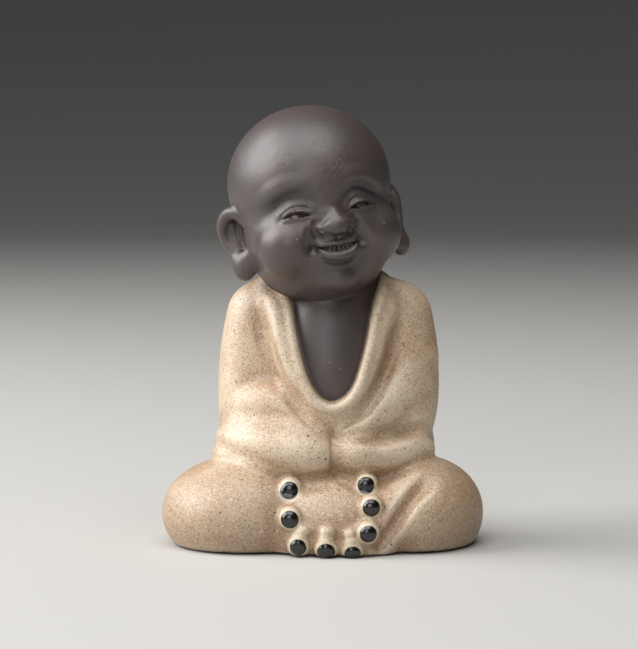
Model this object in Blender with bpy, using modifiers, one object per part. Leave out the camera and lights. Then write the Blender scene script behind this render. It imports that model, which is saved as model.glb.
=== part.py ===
"""Baby monk figurine in stoneware: a seated child monk in one piece, with a glazed robe, bare clay skin
and a prayer string of eight raised beads in its lap.

The figure is modelled as a potter builds it: masses of clay are pressed together, their joins are filled,
the folds and the face are carved, and the foot is trimmed flat. X is to the viewer's right, -Y is forward.
"""

import math

import bmesh
import bpy
import numpy as np
from mathutils import Euler, Matrix, Vector
from mathutils.bvhtree import BVHTree

# Driving dimensions, in metres
FIGURE_HEIGHT = 0.100
COLLAR_ROLL_RADIUS = 0.0013
CHEST_BEHIND_COLLAR = 0.0010
BEAD_RADIUS = 0.0029
BEAD_PROUD = 0.0024
FOOT_EDGE_RADIUS = 0.0012

# The figure's own unit: a hundredth of its height. Its pose, masses and carving are given in these parts.
PART = FIGURE_HEIGHT / 100

# The head's place and pose, in parts and degrees
HEAD_CENTRE = (-2.1, -2.0, 77.1)
HEAD_TURN = 15.5
HEAD_TILT = -9.0

# The middle of the face and of its nose, in parts to the figure's left, and how far the face leans to
# the figure's left on its way up
FACE_MIDDLE = -0.8
FACE_LEAN = 0.05
NOSE_MIDDLE = -0.1

# How the figure's left ear stands to the mirror image of its right one, in parts, and how far its lobe
# is turned out, in degrees
LEFT_EAR_SET_OUT = (0.2, -1.0, -0.7)
LEFT_EAR_SPREAD = -8.0

# How far the middle of the collar's roll lies behind the front of the robe, as a share of its radius
COLLAR_SUNK = 0.4

# How wide the joins between clay masses are filled, in parts
MASS_FILL = 2.2
LAPEL_FILL = 1.0
SLEEVE_FILL = 0.9
LAP_FILL = 0.7
BEAD_FILL = 0.4
FIGURE_FILL = 0.25
CHEST_FILL = 1.6
SKULL_FILL = 1.6
NOSE_FILL = 0.7
EAR_FILL = 0.35
HEAD_FILL = 0.3

# How fine the clay is worked, in parts, and how many triangles are left of it
GRAIN = 0.6
TRIANGLES = 8600
FACE_GUARD = 0.9
FACE_GUARD_STRENGTH = 0.0005
POINT_WELD = 1e-5
FOOT_WELD = 0.02
SHARP_ANGLE = 50

# A Y in front of the whole figure, in parts
AHEAD = -60.0


# Shaping tools


def new_object(name, mesh):
    obj = bpy.data.objects.new(name, mesh)
    bpy.context.scene.collection.objects.link(obj)
    return obj


def evaluated(obj):
    """The mesh of obj as its modifiers leave it. The object itself is removed."""
    graph = bpy.context.evaluated_depsgraph_get()
    mesh = bpy.data.meshes.new_from_object(obj.evaluated_get(graph))
    bpy.data.objects.remove(obj)
    return mesh


def joined(meshes, matrix=None):
    """One mesh of all the given ones, welded and placed by the matrix."""
    bm = bmesh.new()
    for mesh in meshes:
        bm.from_mesh(mesh)
    if matrix is not None:
        bm.transform(matrix)
    bmesh.ops.remove_doubles(bm, verts=bm.verts, dist=POINT_WELD)
    mesh = bpy.data.meshes.new("joined")
    bm.to_mesh(mesh)
    bm.free()
    return mesh


def lump(centre, radii, turn=(0, 0, 0)):
    """An ellipsoid of clay. turn is in degrees about X, Y and Z."""
    spin = Euler([math.radians(angle) for angle in turn]).to_matrix().to_4x4()
    bm = bmesh.new()
    bmesh.ops.create_uvsphere(bm, u_segments=64, v_segments=40, radius=1)
    bm.transform(Matrix.Translation(centre) @ spin @ Matrix.Diagonal((*radii, 1)))
    mesh = bpy.data.meshes.new("lump")
    bm.to_mesh(mesh)
    bm.free()
    return mesh


def smooth_path(points, steps=10):
    """A smooth line through the given points, in any number of columns."""
    rows = np.asarray(points, float)
    rows = np.vstack([2 * rows[0] - rows[1], rows, 2 * rows[-1] - rows[-2]])
    line = []
    for i in range(1, len(rows) - 2):
        before, start, end, after = rows[i - 1 : i + 3]
        for t in np.linspace(0, 1, steps, endpoint=False):
            bend = (2 * before - 5 * start + 4 * end - after) * t**2
            twist = (3 * start - before - 3 * end + after) * t**3
            line.append((2 * start + (end - before) * t + bend + twist) / 2)
    return np.array([*line, rows[-2]])


def roll(points, radii, steps=8):
    """A roll of clay with round ends, running through the points."""
    rows = smooth_path([(*point, radius) for point, radius in zip(points, radii)], steps)
    curve = bpy.data.curves.new("roll", "CURVE")
    curve.dimensions = "3D"
    curve.bevel_depth = 1
    curve.bevel_resolution = 6
    curve.use_fill_caps = True
    spline = curve.splines.new("POLY")
    spline.points.add(len(rows) - 1)
    for point, row in zip(spline.points, rows):
        point.co = (*row[:3], 1)
        point.radius = row[3]
    tube = evaluated(new_object("roll", curve))
    ends = [lump(row[:3], [row[3]] * 3) for row in (rows[0], rows[-1])]
    return joined([tube, *ends])


def both_sides(make):
    return [make(-1), make(1)]


def pressed(meshes, fill, grain=GRAIN):
    """The meshes as one skin of clay, its inner corners filled over about the width of fill."""
    obj = new_object("pressed", joined(meshes))
    press = obj.modifiers.new("Press together", "REMESH")
    press.mode = "VOXEL"
    press.voxel_size = grain
    smooth = obj.modifiers.new("Fill the joins", "SMOOTH")
    smooth.factor = 0.5
    smooth.iterations = max(1, round(4 * (fill / grain) ** 2))
    return evaluated(obj)


def cut(mesh, cutter):
    """The mesh with the cutter's space taken out."""
    obj = new_object("cut", mesh)
    tool = new_object("cutter", cutter)
    trim = obj.modifiers.new("Cut", "BOOLEAN")
    trim.operation = "DIFFERENCE"
    trim.solver = "EXACT"
    trim.object = tool
    made = evaluated(obj)
    bpy.data.objects.remove(tool)
    return made


def points_and_normals(mesh):
    points = np.empty(len(mesh.vertices) * 3, np.float32)
    mesh.vertices.foreach_get("co", points)
    normals = np.empty(len(mesh.vertices) * 3, np.float32)
    mesh.vertex_normals.foreach_get("vector", normals)
    return points.reshape(-1, 3).astype(float), normals.reshape(-1, 3).astype(float)


def move_points(mesh, points):
    mesh.vertices.foreach_set("co", points.astype(np.float32).ravel())
    mesh.update()


def ease(start, end, value):
    """0 before start, 1 after end and a smooth rise between them. start may be above end."""
    t = np.clip((value - start) / (end - start), 0, 1)
    return t * t * (3 - 2 * t)


def nearest_on(line, points):
    """For each point, its distance to the line and how far along the line that is, from 0 to 1."""
    best = np.full(len(points), np.inf)
    along = np.zeros(len(points))
    lengths = np.linalg.norm(np.diff(line, axis=0), axis=1)
    reached = np.r_[0, np.cumsum(lengths)] / lengths.sum()
    for i, (start, end) in enumerate(zip(line[:-1], line[1:])):
        run = end - start
        share = np.clip((points - start) @ run / (run @ run), 0, 1)
        distance = np.linalg.norm(points - start - share[:, None] * run, axis=1)
        nearer = distance < best
        best[nearer] = distance[nearer]
        along[nearer] = reached[i] + share[nearer] * (reached[i + 1] - reached[i])
    return best, along


def stroke(flat, path, width, height, fade=0.25):
    """Height of a tool's stroke along a path, over points seen flat. It fades towards both ends."""
    line = smooth_path(path)
    close = np.all((flat > line.min(0) - width) & (flat < line.max(0) + width), axis=1)
    raised = np.zeros(len(flat))
    if not close.any():
        return raised
    distance, along = nearest_on(line, flat[close])
    profile = np.clip(1 - (distance / width) ** 2, 0, 1) ** 2
    if fade:
        profile *= ease(0, fade, along) * ease(0, fade, 1 - along)
    raised[close] = height * profile
    return raised


def dab(flat, centre, radii, height, turn=0.0):
    """Height of a soft round dab of clay, or of a thumb mark where the height is negative."""
    cos, sin = math.cos(math.radians(turn)), math.sin(math.radians(turn))
    off = flat - np.array(centre)
    across = (off[:, 0] * cos + off[:, 1] * sin) / radii[0]
    up = (off[:, 1] * cos - off[:, 0] * sin) / radii[1]
    return height * np.clip(1 - across**2 - up**2, 0, 1) ** 2


# The robe


def legs():
    """The crossed legs under the robe: two knees, the lap between them and the right shin folded in."""
    left_knee = lump((-18.0, -8.5, 7.0), (18.8, 19.6, 13.2), (0, 2, 8))
    right_knee = lump((22.0, -8.0, 7.0), (14.9, 19.0, 13.2), (0, -2, -14))
    seat = lump((0.5, 2.0, 6.0), (28.0, 22.0, 15.0))
    lap = lump((2.5, -10.5, 4.0), (22.0, 18.6, 14.5))
    shin = roll(
        [(10.5, -23.5, 1), (15.5, -21.5, 7.5), (21.5, -16.5, 13), (26, -10, 15)],
        [5.5, 5.5, 5, 4.5],
    )
    return pressed([left_knee, right_knee, seat, lap, shin], MASS_FILL)


def trunk():
    """Back, hips, shoulders and upper arms."""
    back = lump((1.4, 2.5, 36), (20.5, 15.0, 31))
    waist = lump((1.4, 4.5, 27), (19.5, 14.8, 25))
    hips = lump((1.4, 2.5, 21), (25.0, 17.6, 18))
    shoulders = roll([(-10.2, 3.5, 52.3), (1.4, 5.5, 54.5), (13.7, 3.5, 51.6)], [9, 8, 9])
    left_arm = roll(
        [(-13.6, 2.5, 51.2), (-15.2, 0.5, 42), (-15.7, -2.0, 30), (-14.5, -4, 26)],
        [8.8, 8.7, 8.5, 8.4],
    )
    right_arm = roll(
        [(16.7, 2.5, 51.0), (18.1, 0.5, 43), (18.4, -1.5, 33), (18.0, -3, 29)],
        [9.1, 9.0, 8.8, 8.4],
    )
    return pressed([back, waist, hips, shoulders, left_arm, right_arm], MASS_FILL)


def lapels():
    """The band of the robe round the neck opening and across the nape."""
    meeting = (1.8, -14.6, 29.6)
    left_top = (-12.3, 0.3, 58.4)
    right_top = (14.3, 1.0, 56.6)
    left = roll(
        [left_top, (-10.5, -5.5, 54), (-9.3, -9.6, 47), (-6.2, -12.4, 38.5), (-2.2, -14, 32.5), meeting],
        [3.2, 3.8, 4.2, 4.2, 4.0, 3.8],
    )
    right = roll(
        [right_top, (14.0, -5.5, 54), (12.8, -9.6, 47), (9.8, -12.4, 38.5), (5.8, -14, 32.5), meeting],
        [3.2, 3.6, 3.8, 3.8, 3.8, 3.8],
    )
    behind = [(-8.5, 7.5, 58.5), (-3.5, 11, 59.5), (2, 12, 60), (7.5, 11, 59.8), (12.3, 7.5, 59)]
    nape = roll([left_top, *behind, right_top], [3.3] * 7)
    return [left, right, nape]


def sleeves():
    """The wide sleeves, whose ends meet over the lap, and the drape from the right shoulder above them."""
    left = lump((-9.8, -10.6, 22.8), (16.2, 9.6, 7.2), (0, 6, -31))
    left_top = lump((-10.3, -8.0, 29.3), (12.4, 8.0, 8.3), (0, 14, -26))
    left_middle = lump((-9.4, -9.6, 26.0), (14.6, 8.7, 6.6), (0, 8, -29))
    left_end = lump((-4.6, -14.9, 22.5), (7.5, 6.4, 6.0), (0, 4, -14))
    left_flare = lump((-17.0, -6.8, 19.8), (8.4, 8.6, 4.2), (0, 10, -24))
    left_fall = lump((-12.8, -11.4, 18.6), (9.5, 8.0, 4.2), (0, 10, -28))
    right = lump((13.0, -10.2, 21.2), (14.2, 9.0, 5.6), (0, -2, 29))
    right_end = lump((8.5, -14.9, 21.5), (6.7, 6.0, 5.5), (0, -2, 14))
    drape = roll(
        [(20, -1.0, 42), (17.8, -5.8, 35.5), (12, -11.4, 30.3), (5.2, -14.8, 27.4)],
        [7.0, 6.2, 4.8, 3.6],
    )
    lefts = [left, left_top, left_middle, left_end, left_flare, left_fall]
    return [*lefts, right, right_end, drape]


def crease_robe(mesh):
    """Carves the folds of the robe, on the side that each is seen from."""
    points, normals = points_and_normals(mesh)
    flat = points[:, [0, 2]]
    fold = np.zeros(len(points))
    # beside the lapels
    beside_left = [(-13.8, 56), (-13.4, 50), (-12, 45), (-10, 40), (-7.7, 35.9), (-1.2, 28.4)]
    fold -= stroke(flat, beside_left, 3.0, 1.6)
    beside_right = [(16.6, 54), (16.2, 48), (15.2, 43), (11.3, 34), (7.5, 29.5), (3.2, 26.8)]
    fold -= stroke(flat, beside_right, 2.6, 1.3)
    # at the bend of the right elbow
    elbow = [(25.5, 28.4), (23.5, 27.6), (21, 26.5), (16.5, 25.4), (9.7, 25.2), (5.2, 26.1)]
    fold -= stroke(flat, elbow, 2.2, 1.1, 0.35)
    # where the sleeve ends meet
    fold -= stroke(flat, [(2.0, 29), (2.4, 24.4), (2.5, 21), (2.5, 15.5)], 1.1, 0.5, 0.15)
    # under the sleeve hems
    left_hem = [(-13.5, 17.6), (-10.5, 16.2), (-7.8, 15.2), (-4.5, 14.6), (-0.4, 15.0), (3, 16.4)]
    fold -= stroke(flat, left_hem, 1.6, 0.6, 0.4)
    fold -= stroke(flat, [(3.6, 16.6), (6.7, 15.2), (11.2, 14.8), (16.4, 17.1), (22, 19.2)], 1.6, 0.8)
    # up from the three beads in front
    for path in [(-5.1, 2.7), (-3.2, 6.8)], [(0.9, 2.2), (1.5, 6.6)], [(6.6, 2.0), (5.9, 6.2)]:
        fold += stroke(flat, path, 2.2, 1.0, 0.15)
    # in front of the right knee
    shin_front = [(25.9, 17.6), (23.2, 15.3), (20, 12.5), (14.9, 5.0), (12.6, 1.4), (11, -1.5)]
    fold -= stroke(flat, shin_front, 2.6, 1.9)
    in_front = ease(0.2, -0.1, normals[:, 1]) * ease(6, 2, points[:, 1])
    # down the back, from the shoulders towards the hips, and behind the arms
    drape = np.zeros(len(points))
    drape -= stroke(flat, [(-11, 51), (-8.5, 43), (-1.5, 34.5), (8.5, 28), (19, 24)], 3.4, 1.0, 0.35)
    drape -= stroke(flat, [(-13.5, 38), (-9, 30.5), (-0.5, 24), (10, 19.5)], 3.0, 0.8, 0.35)
    drape -= stroke(flat, [(9.5, 53), (9.5, 46), (5.5, 38.5)], 3.0, 0.7, 0.35)
    drape -= stroke(flat, [(-14.2, 47), (-13.6, 40), (-14.6, 30), (-17, 23)], 2.6, 0.9, 0.3)
    drape -= stroke(flat, [(16.4, 48), (15.8, 40), (17, 31), (20, 24)], 2.6, 0.9, 0.3)
    behind = ease(0, 0.3, normals[:, 1]) * ease(2, 6, points[:, 1])
    move_points(mesh, points + normals * (fold * in_front + drape * behind)[:, None])


def robe():
    dressed = pressed([trunk(), *lapels()], LAPEL_FILL)
    draped = pressed([dressed, *sleeves()], SLEEVE_FILL)
    whole = pressed([legs(), draped], LAP_FILL)
    crease_robe(whole)
    return whole


# The neck opening, as seen from the front

OPENING = [
    (-10.6, 66.0),
    (-8.2, 58.2),
    (-6.7, 54.5),
    (-5.9, 49.5),
    (-4.7, 43.8),
    (-3.1, 38.6),
    (-0.9, 34.8),
    (1.9, 33.1),
    (5.0, 34.2),
    (7.2, 37.0),
    (8.8, 41.6),
    (10.2, 47.2),
    (11.2, 52.9),
    (12.7, 58.2),
    (14.6, 66.0),
]
OPENING_BACK = 5.0
COLLAR_TOP = 60.0


def opening_cutter():
    """A prism of the neck opening's outline, from in front of the chest to its back."""
    bm = bmesh.new()
    face = bm.faces.new([bm.verts.new((x, AHEAD, z)) for x, z in smooth_path(OPENING, 6)])
    made = bmesh.ops.extrude_face_region(bm, geom=[face])["geom"]
    moved = [item for item in made if isinstance(item, bmesh.types.BMVert)]
    bmesh.ops.translate(bm, verts=moved, vec=(0, OPENING_BACK - AHEAD, 0))
    bmesh.ops.recalc_face_normals(bm, faces=bm.faces)
    mesh = bpy.data.meshes.new("opening")
    bm.to_mesh(mesh)
    bm.free()
    return mesh


def front_finder(mesh):
    """A function that gives the Y of the mesh's front at a place seen from the front."""
    bm = bmesh.new()
    bm.from_mesh(mesh)
    tree = BVHTree.FromBMesh(bm)
    bm.free()

    def front(x, z):
        hit = tree.ray_cast(Vector((x, AHEAD, z)), Vector((0, 1, 0)))
        return hit[0].y

    return front


def collar_roll(front):
    """The rolled edge of the cloth along the neck opening."""
    radius = COLLAR_ROLL_RADIUS / PART
    edge = smooth_path(OPENING, 3)
    along = np.gradient(edge, axis=0)
    outward = np.column_stack([along[:, 1], -along[:, 0]]) / np.linalg.norm(along, axis=1)[:, None]
    below_top = [(x, z) for x, z in edge + radius * outward if z < COLLAR_TOP]
    middle = [(x, front(x, z) + COLLAR_SUNK * radius, z) for x, z in below_top]
    return roll(middle, [radius] * len(middle), steps=2)


# The prayer beads on the lap, as seen from the front, from the top left one round to the top right one

BEADS = [
    (-7.1, 14.1),
    (-7.1, 8.3),
    (-5.1, 2.7),
    (0.9, 2.2),
    (6.6, 2.0),
    (10.1, 5.5),
    (10.9, 10.8),
    (9.9, 15.0),
]


def beads(front):
    radius = BEAD_RADIUS / PART
    sunk = radius - BEAD_PROUD / PART
    return [lump((x, front(x, z) + sunk, z), (radius, radius, radius)) for x, z in BEADS]


# The head, in its own frame: X to its left ear, -Y forward, Z up


def head_matrix():
    tilt = Matrix.Rotation(math.radians(HEAD_TILT), 4, "Y")
    turn = Matrix.Rotation(math.radians(HEAD_TURN), 4, "Z")
    return Matrix.Translation(HEAD_CENTRE) @ tilt @ turn


def skull():
    cranium = lump((0.3, 1.5, 5.2), (18.7, 20.4, 17.8))
    jaw = lump((0, -1.5, -5.2), (17.3, 17.0, 17.9))
    cheeks = both_sides(lambda side: lump((side * 9.2, -9.2, -8.0), (7.8, 7.4, 7.6)))
    chin = lump((0, -11.6, -15.2), (6.2, 5.2, 4.8))
    muzzle = lump((0, -13.2, -9.8), (7.0, 5.2, 5.0))
    return pressed([cranium, jaw, *cheeks, chin, muzzle], SKULL_FILL)


def nose():
    bridge = roll([(-0.7, -15.6, 1.8), (-0.5, -17.2, -1.5), (NOSE_MIDDLE, -18.8, -3.8)], [1.6, 1.75, 2.1])
    tip = lump((NOSE_MIDDLE, -18.7, -4.4), (3.4, 2.6, 2.3))
    wings = both_sides(lambda side: lump((NOSE_MIDDLE + side * 3.3, -17.4, -4.9), (2.1, 2.5, 1.8)))
    return [bridge, tip, *wings]


def ear(side):
    """A long ear: a rim curling round an open cup, the inner ridge in it, and a full lobe."""
    back = lump((side * 16.2, 4.4, -5.2), (2.2, 4.2, 6.6), (0, 0, side * -38))
    rim = roll(
        [
            (side * 16.4, -0.6, -1.4),
            (side * 17.6, 0.4, 0.8),
            (side * 19.4, 2.6, 1.1),
            (side * 20.8, 4.4, -1.4),
            (side * 20.6, 4.4, -4.8),
            (side * 19.4, 3.0, -8.0),
            (side * 18.6, 1.8, -10.4),
        ],
        [1.3, 1.55, 1.6, 1.45, 1.25, 1.3, 1.9],
    )
    ridge = roll(
        [(side * 18.4, 3.4, -1.4), (side * 18.6, 3.6, -4.2), (side * 18.0, 2.4, -7.2)],
        [0.8, 0.9, 0.8],
    )
    lobe = lump((side * 18.0, 0.9, -11.1), (2.3, 3.2, 3.5), (0, 0, side * -30))
    root = lump((side * 16.4, -0.6, -9.8), (1.8, 1.8, 3.4))
    made = pressed([back, rim, ridge, lobe, root], EAR_FILL)
    if side < 0:
        return made
    middle = Vector((17, 0, -5))
    spread = Matrix.Rotation(math.radians(LEFT_EAR_SPREAD), 4, "Y")
    set_out = Matrix.Translation(middle + Vector(LEFT_EAR_SET_OUT))
    return joined([made], set_out @ spread @ Matrix.Translation(-middle))


# Lines of the face, as distances from its middle and heights

CREASE = [
    (12.4, -1.5),
    (11.2, -1.1),
    (10.2, -0.5),
    (9.0, 0.4),
    (7.8, 0.85),
    (6.5, 0.9),
    (5.2, 0.4),
    (4.3, -0.4),
    (3.7, -1.0),
]
LASHES = [
    (12.2, -1.9),
    (11.2, -1.6),
    (10.0, -1.0),
    (8.9, -0.5),
    (7.7, -0.3),
    (6.6, -0.4),
    (5.6, -0.8),
    (4.6, -1.3),
    (3.7, -1.6),
]
LOWER_LID = [(11.2, -1.9), (9.6, -1.4), (8.1, -1.45), (6.6, -1.5), (5.1, -1.45)]
LIP_ABOVE = [(0, -8.65), (1.8, -8.6), (3.4, -8.55), (4.9, -8.6)]
LIP_BELOW = [(0, -10.2), (1.7, -10.05), (3.3, -9.6), (4.4, -9.0), (4.9, -8.65)]
TOOTH_WIDTH = 1.02

# The box that the carving of the face keeps within, in the head's frame
FACE_BOX = np.array([(-17, -40, -20), (17, -4, 10)])


def level(path, side):
    """The height of a line across the face at each distance from its middle."""
    line = smooth_path(sorted(path))
    return np.interp(side, line[:, 0], line[:, 1])


def eye_relief(flat):
    """The hollow under the brow and the smiling eye, open a little between its lids."""
    side, up = flat.T
    relief = np.zeros(len(flat))
    hollow = [(13.4, -1.4), (12.2, 0.0), (9.8, 2.0), (7.6, 2.7), (5.4, 2.4), (3.6, 1.0), (3.0, -1.4)]
    relief -= stroke(flat, hollow, 3.0, 0.9, 0.3)
    under_brow = [(12.9, -0.2), (11.9, 1.3), (10.6, 2.6), (9.0, 3.5), (6.4, 4.0), (4.2, 3.2)]
    relief -= stroke(flat, under_brow, 1.8, 0.35, 0.3)
    relief += stroke(flat, [(13.8, 1.0), (12.2, 4.0), (9.6, 5.9), (6.3, 6.3), (3.2, 5.0)], 2.8, 0.35, 0.3)
    relief += dab(flat, (7.8, 0.1), (5.6, 2.8), 0.9, -4)
    relief -= stroke(flat, CREASE, 0.55, 0.5, 0.25)
    roll_line = [((x + a) / 2, (z + b) / 2) for (x, z), (a, b) in zip(CREASE, LASHES)]
    relief += stroke(flat, roll_line, 0.75, 0.25, 0.2)
    relief -= stroke(flat, LASHES, 0.5, 0.6, 0.2)
    opened = ease(0, 0.3, level(LASHES, side) - up) * ease(0, 0.3, up - level(LOWER_LID, side))
    opened *= ease(4.9, 5.7, side) * ease(10.8, 9.8, side)
    relief -= 0.9 * opened
    relief += dab(flat, (7.6, -1.0), (1.3, 0.8), 0.7)
    relief += stroke(flat, [(x, z - 0.45) for x, z in LOWER_LID], 0.7, 0.12, 0.2)
    return relief


def mouth_relief(flat):
    """The lips, laughing over the upper teeth."""
    side, up = flat.T
    relief = dab(flat, (0, -9.4), (7.0, 4.6), 1.0)
    relief += stroke(flat, [(4.9, -8.25), (3.3, -7.9), (1.6, -7.7), (0, -8.05)], 1.0, 0.35, 0)
    full = ease(5.1, 2.6, side)
    relief += full * stroke(flat, [(4.7, -9.6), (3.3, -10.45), (1.7, -11.05), (0, -11.2)], 1.35, 1.0, 0)
    opened = ease(0, 0.35, level(LIP_ABOVE, side) - up) * ease(0, 0.35, up - level(LIP_BELOW, side))
    tooth = 0.5 + 0.5 * np.abs(np.cos(np.pi * side / TOOTH_WIDTH))
    teeth = ease(-10.0, -9.85, up) * ease(3.7, 3.3, side) * tooth
    relief += opened * (1.0 * teeth - 1.6)
    relief -= dab(flat, (5.4, -8.8), (1.7, 1.5), 0.7)
    relief -= full * stroke(flat, [(4.4, -10.9), (3.1, -11.8), (1.6, -12.5), (0, -12.7)], 1.1, 0.7, 0)
    relief -= stroke(flat, [(0, -6.7), (0, -7.7)], 0.7, 0.35, 0)
    return relief


def face_relief(across, up):
    """How far the carving stands above the smooth head, at places seen from its front."""
    flat = np.stack([np.abs(across - FACE_MIDDLE + FACE_LEAN * up), up], axis=1)
    by_nose = np.stack([np.abs(across - NOSE_MIDDLE), up], axis=1)
    relief = eye_relief(flat) + mouth_relief(flat)
    # the cheek and the fold from the nose to the corner of the mouth
    relief += dab(flat, (10.2, -6.4), (8.2, 7.0), 1.2)
    relief -= stroke(flat, [(3.9, -3.5), (4.5, -5.5), (5.4, -7.3), (6.2, -9.2), (6.7, -10.8)], 2.8, 1.1)
    # chin, nostrils and the crease round the wings of the nose
    relief += dab(flat, (0, -17.0), (4.4, 3.2), 0.6)
    relief -= dab(by_nose, (2.3, -6.2), (0.9, 0.6), 1.2)
    relief -= stroke(by_nose, [(2.7, -2.6), (3.9, -3.4), (4.4, -4.8), (4.0, -6.2)], 0.9, 0.5)
    return relief


def face_places(points, normals):
    """Each point in the head's frame, and how squarely it faces forward there, from 0 to 1."""
    low, high = FACE_BOX
    inverse = np.array(head_matrix().inverted())
    local = points @ inverse[:3, :3].T + inverse[:3, 3]
    forward = -(normals @ inverse[:3, :3].T)[:, 1]
    on_face = np.all((local > low) & (local < high), axis=1)
    return local, ease(-0.05, 0.35, forward) * on_face


def carve_face(mesh):
    points, normals = points_and_normals(mesh)
    local, weight = face_places(points, normals)
    relief = face_relief(local[:, 0], local[:, 2])
    move_points(mesh, points + normals * (relief * weight)[:, None])


def head():
    face = pressed([skull(), *nose()], NOSE_FILL)
    whole = pressed([face, *both_sides(ear)], HEAD_FILL)
    return joined([whole], head_matrix())


def neck_and_chest():
    neck = lump((1.2, 1.5, 56), (12.6, 12.0, 15.0))
    chest = lump((1.8, CHEST_BEHIND_COLLAR / PART, 38), (14.6, 15.6, 27))
    return [pressed([neck, chest], CHEST_FILL)]


# The whole figure


def round_foot(mesh):
    """Draws the sides in just above the foot, as the quarter round of a wiped edge."""
    radius = FOOT_EDGE_RADIUS / PART
    points, normals = points_and_normals(mesh)
    below = np.clip(radius - points[:, 2], 0, radius)
    inward = radius - np.sqrt(radius**2 - below**2)
    sideways = normals * (1, 1, 0)
    length = np.linalg.norm(sideways, axis=1)
    sideways /= np.maximum(length, 1e-6)[:, None]
    move_points(mesh, points - sideways * (inward * ease(0, 0.3, length))[:, None])


def islands(bm):
    """The connected pieces of a mesh, as lists of points."""
    left = set(bm.verts)
    found = []
    while left:
        piece = [left.pop()]
        for vert in piece:
            near = [edge.other_vert(vert) for edge in vert.link_edges]
            piece += [other for other in near if other in left]
            left.difference_update(near)
        found.append(piece)
    return found


def stood_flat(mesh):
    """The outer skin of the figure alone, trimmed flat at Z = 0 and closed there."""
    bm = bmesh.new()
    bm.from_mesh(mesh)
    pieces = sorted(islands(bm), key=len)
    bmesh.ops.delete(bm, geom=[vert for piece in pieces[:-1] for vert in piece], context="VERTS")
    everything = [*bm.verts, *bm.edges, *bm.faces]
    bmesh.ops.bisect_plane(bm, geom=everything, plane_co=(0, 0, 0), plane_no=(0, 0, 1), clear_inner=True)
    bmesh.ops.remove_doubles(bm, verts=[vert for vert in bm.verts if vert.is_boundary], dist=FOOT_WELD)
    bmesh.ops.holes_fill(bm, edges=[edge for edge in bm.edges if edge.is_boundary])
    bm.to_mesh(mesh)
    bm.free()
    return mesh


def monk():
    """The figure as one skin of clay, in parts, standing on Z = 0."""
    whole_robe = robe()
    front = front_finder(whole_robe)
    opened = cut(whole_robe, opening_cutter())
    clothed = pressed([opened, collar_roll(front), *beads(front)], BEAD_FILL)
    figure = pressed([clothed, head(), *neck_and_chest()], FIGURE_FILL)
    carve_face(figure)
    round_foot(figure)
    return figure


def simplified(mesh):
    """The mesh with few triangles, which stay smaller on the face than elsewhere."""
    points, normals = points_and_normals(mesh)
    on_face = np.flatnonzero(face_places(points, normals)[1] > 0.5)
    obj = new_object("simplified", mesh)
    face = obj.vertex_groups.new(name="Face")
    face.add(on_face.tolist(), FACE_GUARD, "REPLACE")
    above_ground = sum(len(polygon.vertices) - 2 for polygon in mesh.polygons if polygon.center.z > 0)
    reduce = obj.modifiers.new("Simplify", "DECIMATE")
    reduce.ratio = TRIANGLES / above_ground
    reduce.vertex_group = face.name
    reduce.invert_vertex_group = True
    reduce.vertex_group_factor = FACE_GUARD_STRENGTH
    return evaluated(obj)


def clay_material():
    material = bpy.data.materials.new("Glazed stoneware")
    material.use_nodes = True
    shader = material.node_tree.nodes["Principled BSDF"]
    shader.inputs["Base Color"].default_value = (0.45, 0.34, 0.22, 1)
    shader.inputs["Roughness"].default_value = 0.45
    shader.inputs["Metallic"].default_value = 0.0
    return material


def main():
    for obj in list(bpy.data.objects):
        bpy.data.objects.remove(obj)
    mesh = stood_flat(simplified(monk()))
    mesh.transform(Matrix.Scale(PART, 4))
    mesh.shade_smooth()
    mesh.set_sharp_from_angle(angle=math.radians(SHARP_ANGLE))
    mesh.materials.clear()
    mesh.materials.append(clay_material())
    statue = bpy.data.objects.new("monk_statue", mesh)
    collection = bpy.data.collections.new("Baby monk statue")
    bpy.context.scene.collection.children.link(collection)
    collection.objects.link(statue)


main()
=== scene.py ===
"""Baby monk figurine in glazed stoneware, on a pale floor in soft studio light.

The figure is pressed together from the same masses of clay as its solid, at a finer grain, and
carved further. Three finishes lie on it: bare dark clay, speckled sand-coloured glaze on the robe
and black glaze drops on the beads. Its shapes are given in parts, hundredths of its height. X is
to the viewer's right and -Y is forward.
"""

import math

import bmesh
import bpy
import numpy as np
from mathutils import Euler, Matrix, Vector
from mathutils.bvhtree import BVHTree


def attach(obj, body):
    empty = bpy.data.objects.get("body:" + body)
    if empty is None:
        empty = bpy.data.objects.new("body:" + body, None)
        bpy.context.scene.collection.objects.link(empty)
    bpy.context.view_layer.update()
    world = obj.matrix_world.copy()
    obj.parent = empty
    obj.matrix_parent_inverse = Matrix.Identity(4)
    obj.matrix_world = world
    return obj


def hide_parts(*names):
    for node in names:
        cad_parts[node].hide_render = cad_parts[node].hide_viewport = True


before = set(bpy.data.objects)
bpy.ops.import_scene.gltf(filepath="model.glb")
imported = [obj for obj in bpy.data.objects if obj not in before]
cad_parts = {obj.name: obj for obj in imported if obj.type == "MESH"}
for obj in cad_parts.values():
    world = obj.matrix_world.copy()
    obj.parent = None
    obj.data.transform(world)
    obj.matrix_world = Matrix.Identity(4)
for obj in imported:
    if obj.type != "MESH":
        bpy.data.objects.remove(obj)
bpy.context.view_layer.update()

# The figure's sizes in metres, as its solid has them
FIGURE_HEIGHT = 0.100
COLLAR_ROLL_RADIUS = 0.0013
CHEST_BEHIND_COLLAR = 0.0010
BEAD_RADIUS = 0.0029
BEAD_PROUD = 0.0024
FOOT_EDGE_RADIUS = 0.0012

# The figure's own unit, for its pose, masses and carving: one part in metres
PART = FIGURE_HEIGHT / 100

# The head's place and pose, in parts and degrees
HEAD_CENTRE = (-2.1, -2.0, 77.1)
HEAD_TURN = 15.5
HEAD_TILT = -9.0

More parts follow.
